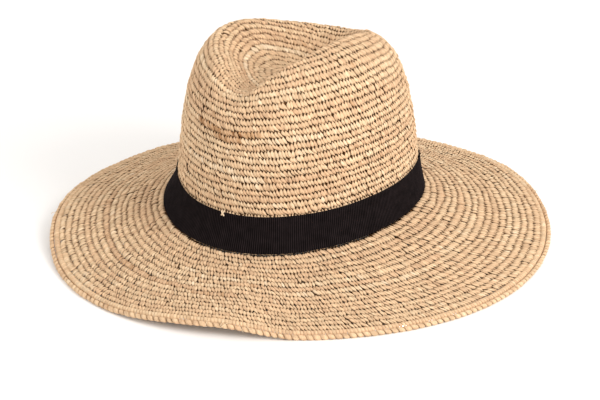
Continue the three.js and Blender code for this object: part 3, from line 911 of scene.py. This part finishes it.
def hatband():
    """Grosgrain ribbon: fine ribs run across its width, with painted highlight on their tops and painted
    shade in the grooves.
    """
    start = HATBAND["start"]
    angles, lengths = strip_stations(start, start + 360 + BAND_LAP_ANGLE, RIB_PITCH / SAMPLES_PER_RIB)
    heights = (0, 0.12, 0.3, 0.6, 4, 8, 12.7, 17, 21, 24.8, 25.1, 25.28, 25.4)
    rows = np.array(heights) + BAND_ROWS[0]
    inner = GAP + lap(HATBAND, angles)[:, None]
    ribs = RIB_HEIGHT * np.cos(2 * np.pi * lengths / RIB_PITCH)[:, None]
    upper = ease((rows - 14) / 12)[None, :]
    ripple = 1 + np.sin(np.radians(angles * 7 + 40)) * np.sin(np.radians(angles * 3))
    loose = 0.35 * upper * ripple[:, None]
    relief = np.broadcast_to(ribs, (len(angles), len(rows))) + loose
    # Painted highlight and shade on the ribs: the rib tops are painted lighter and the grooves darker.
    shade = 0.5 + 0.5 * ribs[:, 0] / RIB_HEIGHT
    return cloth_strip(
        "ribbon_hatband", angles, rows, inner, HATBAND["thickness"], relief, "ribbon", ["hatband"], shade
    )


def sweatband():
    """Cotton strip inside the crown, with a soft wave along its upper edge."""
    start = SWEATBAND["start"]
    angles, _ = strip_stations(start, start + 360 + BAND_LAP_ANGLE, 1.2)
    heights = (0, 0.15, 0.4, 0.8, 1.6, 2.6, 3.6, 5, 9, 13, 17, 21, 24, 24.6, 25, 25.25, 25.4)
    rows = np.array(heights) + BAND_ROWS[0]
    depth = lap(SWEATBAND, angles)[:, None] + SWEATBAND["thickness"]
    inner = -(CROCHET_THICKNESS + GAP + depth)
    upper = ease((rows - 10) / 16)[None, :]
    ripple = 1 + np.sin(np.radians(angles * 9)) * np.sin(np.radians(angles * 4 + 70))
    wave = -0.5 * upper * ripple[:, None]
    seam = 0.22 * np.exp(-(((rows - SWEATBAND_THREAD_ROW) / 0.7) ** 2))[None, :]
    return cloth_strip(
        "sweatband_strip", angles, rows, inner, SWEATBAND["thickness"], wave + seam,
        "sweatband_cloth", ["sweatband"],
    )


def size_label():
    """A blank woven label on the sweatband."""
    angles, _ = strip_stations(LABEL["start"], LABEL["end"], 0.5)
    rows = np.linspace(*LABEL["rows"], 24)
    depth = SWEATBAND["thickness"] + GAP + LABEL["thickness"] + 0.35
    across = np.linspace(-1, 1, len(angles))[:, None]
    curl = -0.35 * (1 - np.abs(across)) * np.sin(np.linspace(0, np.pi, len(rows)))[None, :]
    weave = 0.04 * np.cos(np.arange(len(rows)) * np.pi)[None, :]
    return cloth_strip(
        "label_strip", angles, rows, -(CROCHET_THICKNESS + GAP + depth), LABEL["thickness"], curl + weave,
        "label_cloth", ["size_label"],
    )


def thread_tube(line, radius, sides=8):
    """A round thread along a line of points, tapered at its ends. Returns points and faces."""
    line = np.asarray(line, float)
    tangent = unit(np.gradient(line, axis=0))
    reference = np.array([0.31, 0.17, 0.93])
    first = unit(np.cross(tangent, reference))
    second = np.cross(tangent, first)
    turn = np.linspace(0, 2 * np.pi, sides, endpoint=False)
    sizes = np.full(len(line), radius)
    sizes[[0, -1]] *= 0.35
    ring = first[:, None] * np.cos(turn)[None, :, None] + second[:, None] * np.sin(turn)[None, :, None]
    points = line[:, None] + ring * sizes[:, None, None]
    return points.reshape(-1, 3), tube_quads(len(line), sides)


def add_threads(name, lines, radius, slot, replaces, hue=0.7):
    """One piece made of several short threads."""
    points, quads, uv, fibre = [], [], [], []
    count = 0
    cells = math.ceil(math.sqrt(len(lines)))
    for index, line in enumerate(lines):
        tube_points, tube_faces = thread_tube(line, radius)
        points.append(tube_points)
        quads.append(tube_faces + count)
        count += len(tube_points)
        corner = np.array([index % cells, index // cells])
        uv.append((tube_uv(len(line), 8) * 0.9 + 0.05 + corner) / cells)
        around, along = np.meshgrid(np.arange(8) * 0.9, np.arange(len(line)) * 0.3)
        fibre.append(np.stack([around.ravel(), along.ravel(), np.full(around.size, 5.0 + index)], -1))
    points = np.concatenate(points)
    tint = np.tile([hue, 1.0, 1.0], (len(points), 1))
    return add_piece(
        name, points, np.concatenate(quads), slot, replaces, np.concatenate(uv), np.concatenate(fibre), tint
    )


def wall_line(angles, rows, offsets):
    """A line of points near the crown's wall."""
    base, normal = wall_place(np.asarray(angles, float), np.asarray(rows, float))
    return base + normal * np.asarray(offsets, float)[:, None]


def arc(start, end, height, count=9):
    """Offsets that rise from start, over height, to end."""
    share = np.linspace(0, 1, count)
    return start + (end - start) * share + height * np.sin(np.pi * share)


def tack_lines(angle):
    """Two crossing strands over the ribbon's upper edge."""
    edge = BAND_ROWS[1]
    lines = []
    for side, lean in ((-1, 1.1), (1, 0.9)):
        rows = np.linspace(edge - 2.8, edge + 0.9, 11)
        degrees = angle + side * lean * np.linspace(-0.8, 0.8, 11)
        offsets = np.array([1.0, 1.35, 1.5, 1.55, 1.6, 1.6, 1.65, 1.6, 1.4, 0.9, 0.1])
        lines.append(wall_line(degrees, rows, offsets))
    return lines


def small_stitches(angle, row, offset, count, length=1.3, spacing=1.5):
    """Short threads side by side that dip into what they hold."""
    lines = []
    for index in range(count):
        at = row + spacing * index
        degrees = np.linspace(angle - length, angle + length, 9)
        lines.append(wall_line(degrees, np.full(9, at), offset + arc(-0.35, -0.35, 0.65)))
    return lines


ribbon = hatband()
band = sweatband()
label = size_label()
tuft = tack_lines(TACK_ANGLES[0])
add_threads("ribbon_raffia_tuft", tuft, THREAD_RADIUS["tuft"], "raffia", ["hatband_tack_1"], PALE)
for index, angle in enumerate(TACK_ANGLES[1:]):
    number = index + 2
    rows = np.linspace(BAND_ROWS[1] - 2, BAND_ROWS[1] + 1, 9)
    line = wall_line(np.full(9, float(angle)), rows, [0.8, 1.15, 1.3, 1.35, 1.35, 1.35, 1.3, 0.8, 0.1])
    add_threads(
        f"ribbon_tack_{number}", [line], THREAD_RADIUS["tack"], "ribbon", [f"hatband_tack_{number}"],
    )
for index, row in enumerate(LAP_STITCH_ROWS):
    angle = HATBAND["start"] + BAND_LAP_ANGLE - LAP_STITCH_TURN
    lines = small_stitches(angle, row, STITCH_OFFSET["ribbon"], 2)
    add_threads(
        f"ribbon_lap_stitches_{index + 1}", lines, THREAD_RADIUS["lap"], "ribbon",
        [f"hatband_lap_stitch_{index + 1}"],
    )
    angle = SWEATBAND["start"] + BAND_LAP_ANGLE - LAP_STITCH_TURN
    lines = small_stitches(angle, row, STITCH_OFFSET["sweatband"], 2)
    add_threads(
        f"sweatband_lap_stitches_{index + 1}", lines, THREAD_RADIUS["lap"], "sweatband_cloth",
        [f"sweatband_lap_stitch_{index + 1}"],
    )
running = []
for angle in np.arange(SWEATBAND["start"] + 14, SWEATBAND["start"] + 350, RUNNING_STITCH_TURN):
    degrees = np.linspace(angle, angle + 1.7, 9)
    running.append(wall_line(degrees, np.full(9, SWEATBAND_THREAD_ROW), -(3.5 + arc(-0.3, -0.3, 0.45))))
add_threads(
    "sweatband_running_stitches", running, THREAD_RADIUS["running"], "sweatband_cloth",
    ["sweatband_thread"],
)
for index, angle in enumerate((LABEL["start"] + LABEL_STITCH_TURN, LABEL["end"] - LABEL_STITCH_TURN)):
    lines = small_stitches(angle, 12.3, STITCH_OFFSET["label"], 2, 0.8, 1.4)
    add_threads(
        f"label_stitches_{index + 1}", lines, THREAD_RADIUS["label"], "sweatband_cloth",
        [f"label_stitch_{index + 1}"],
    )


def stray_fibres(rng):
    """Loose ends of raffia that stick out of the brim's edge."""
    lines = []
    for angle in STRAY_ANGLES:
        length = rng.uniform(4, 8)
        share = np.linspace(0, 1, 12)
        degrees = angle + rng.uniform(-2.2, 2.2) * share**1.5
        out = 3.5 + length * 0.75 * share
        up = 3.6 + 1.5 * np.sin(np.pi * share) - length * 0.3 * share**2
        lines.append(edge_shape(degrees, out, up))
    return lines


strays = stray_fibres(np.random.default_rng(SEED + 5))
add_threads("stray_raffia_fibres", strays, THREAD_RADIUS["stray"], "raffia", [], PALE)

for name in ("brim_edge_wire", "wire_joint_sleeve"):
    frame_nodes[name].data.materials.clear()
    frame_nodes[name].data.materials.append(MATERIALS["wire"])


# --- Floor, light and camera ---


def direction(azimuth, elevation):
    """A unit vector from the hat towards a place. Azimuth 0 looks along +Y."""
    turn = math.radians(azimuth)
    tilt = math.radians(elevation)
    flat = math.cos(tilt)
    return Vector((math.sin(turn) * flat, -math.cos(turn) * flat, math.sin(tilt)))


def aim(thing, place, target):
    """Puts a light or a camera at a place and turns it to a target."""
    thing.location = place
    thing.rotation_euler = (Vector(target) - Vector(place)).to_track_quat("-Z", "Y").to_euler()


def add_light(name, azimuth, elevation, distance, size, watts, colour):
    """A square soft light that faces the hat."""
    data = bpy.data.lights.new(name, "AREA")
    data.size = size
    data.energy = watts
    data.color = colour
    light = bpy.data.objects.new(name, data)
    bpy.context.scene.collection.objects.link(light)
    aim(light, direction(azimuth, elevation) * distance, LIGHT_TARGET)


floor_mesh = bpy.data.meshes.new("floor")
corners = [(x * FLOOR_REACH, y * FLOOR_REACH, 0) for x, y in ((-1, -1), (1, -1), (1, 1), (-1, 1))]
floor_mesh.from_pydata(corners, [], [(0, 1, 2, 3)])
floor_mesh.materials.append(floor_material())
floor = bpy.data.objects.new("floor", floor_mesh)
bpy.context.scene.collection.objects.link(floor)

world = bpy.data.worlds.new("studio")
world.use_nodes = True
sky = world.node_tree.nodes["Background"]
sky.inputs["Color"].default_value = (*SKY_COLOUR, 1)
sky.inputs["Strength"].default_value = SKY_STRENGTH
bpy.context.scene.world = world
for settings in LIGHTS:
    add_light(**settings)
bpy.context.scene.view_settings.view_transform = "Standard"

camera_data = bpy.data.cameras.new("camera")
camera_data.lens = CAMERA_LENS
camera_data.sensor_width = 36
camera_data.clip_end = 50
camera = bpy.data.objects.new("camera", camera_data)
bpy.context.scene.collection.objects.link(camera)
eye = Vector(CAMERA_TARGET) + direction(CAMERA_AZIMUTH, CAMERA_ELEVATION) * CAMERA_DISTANCE
aim(camera, eye, CAMERA_TARGET)
bpy.context.scene.camera = camera
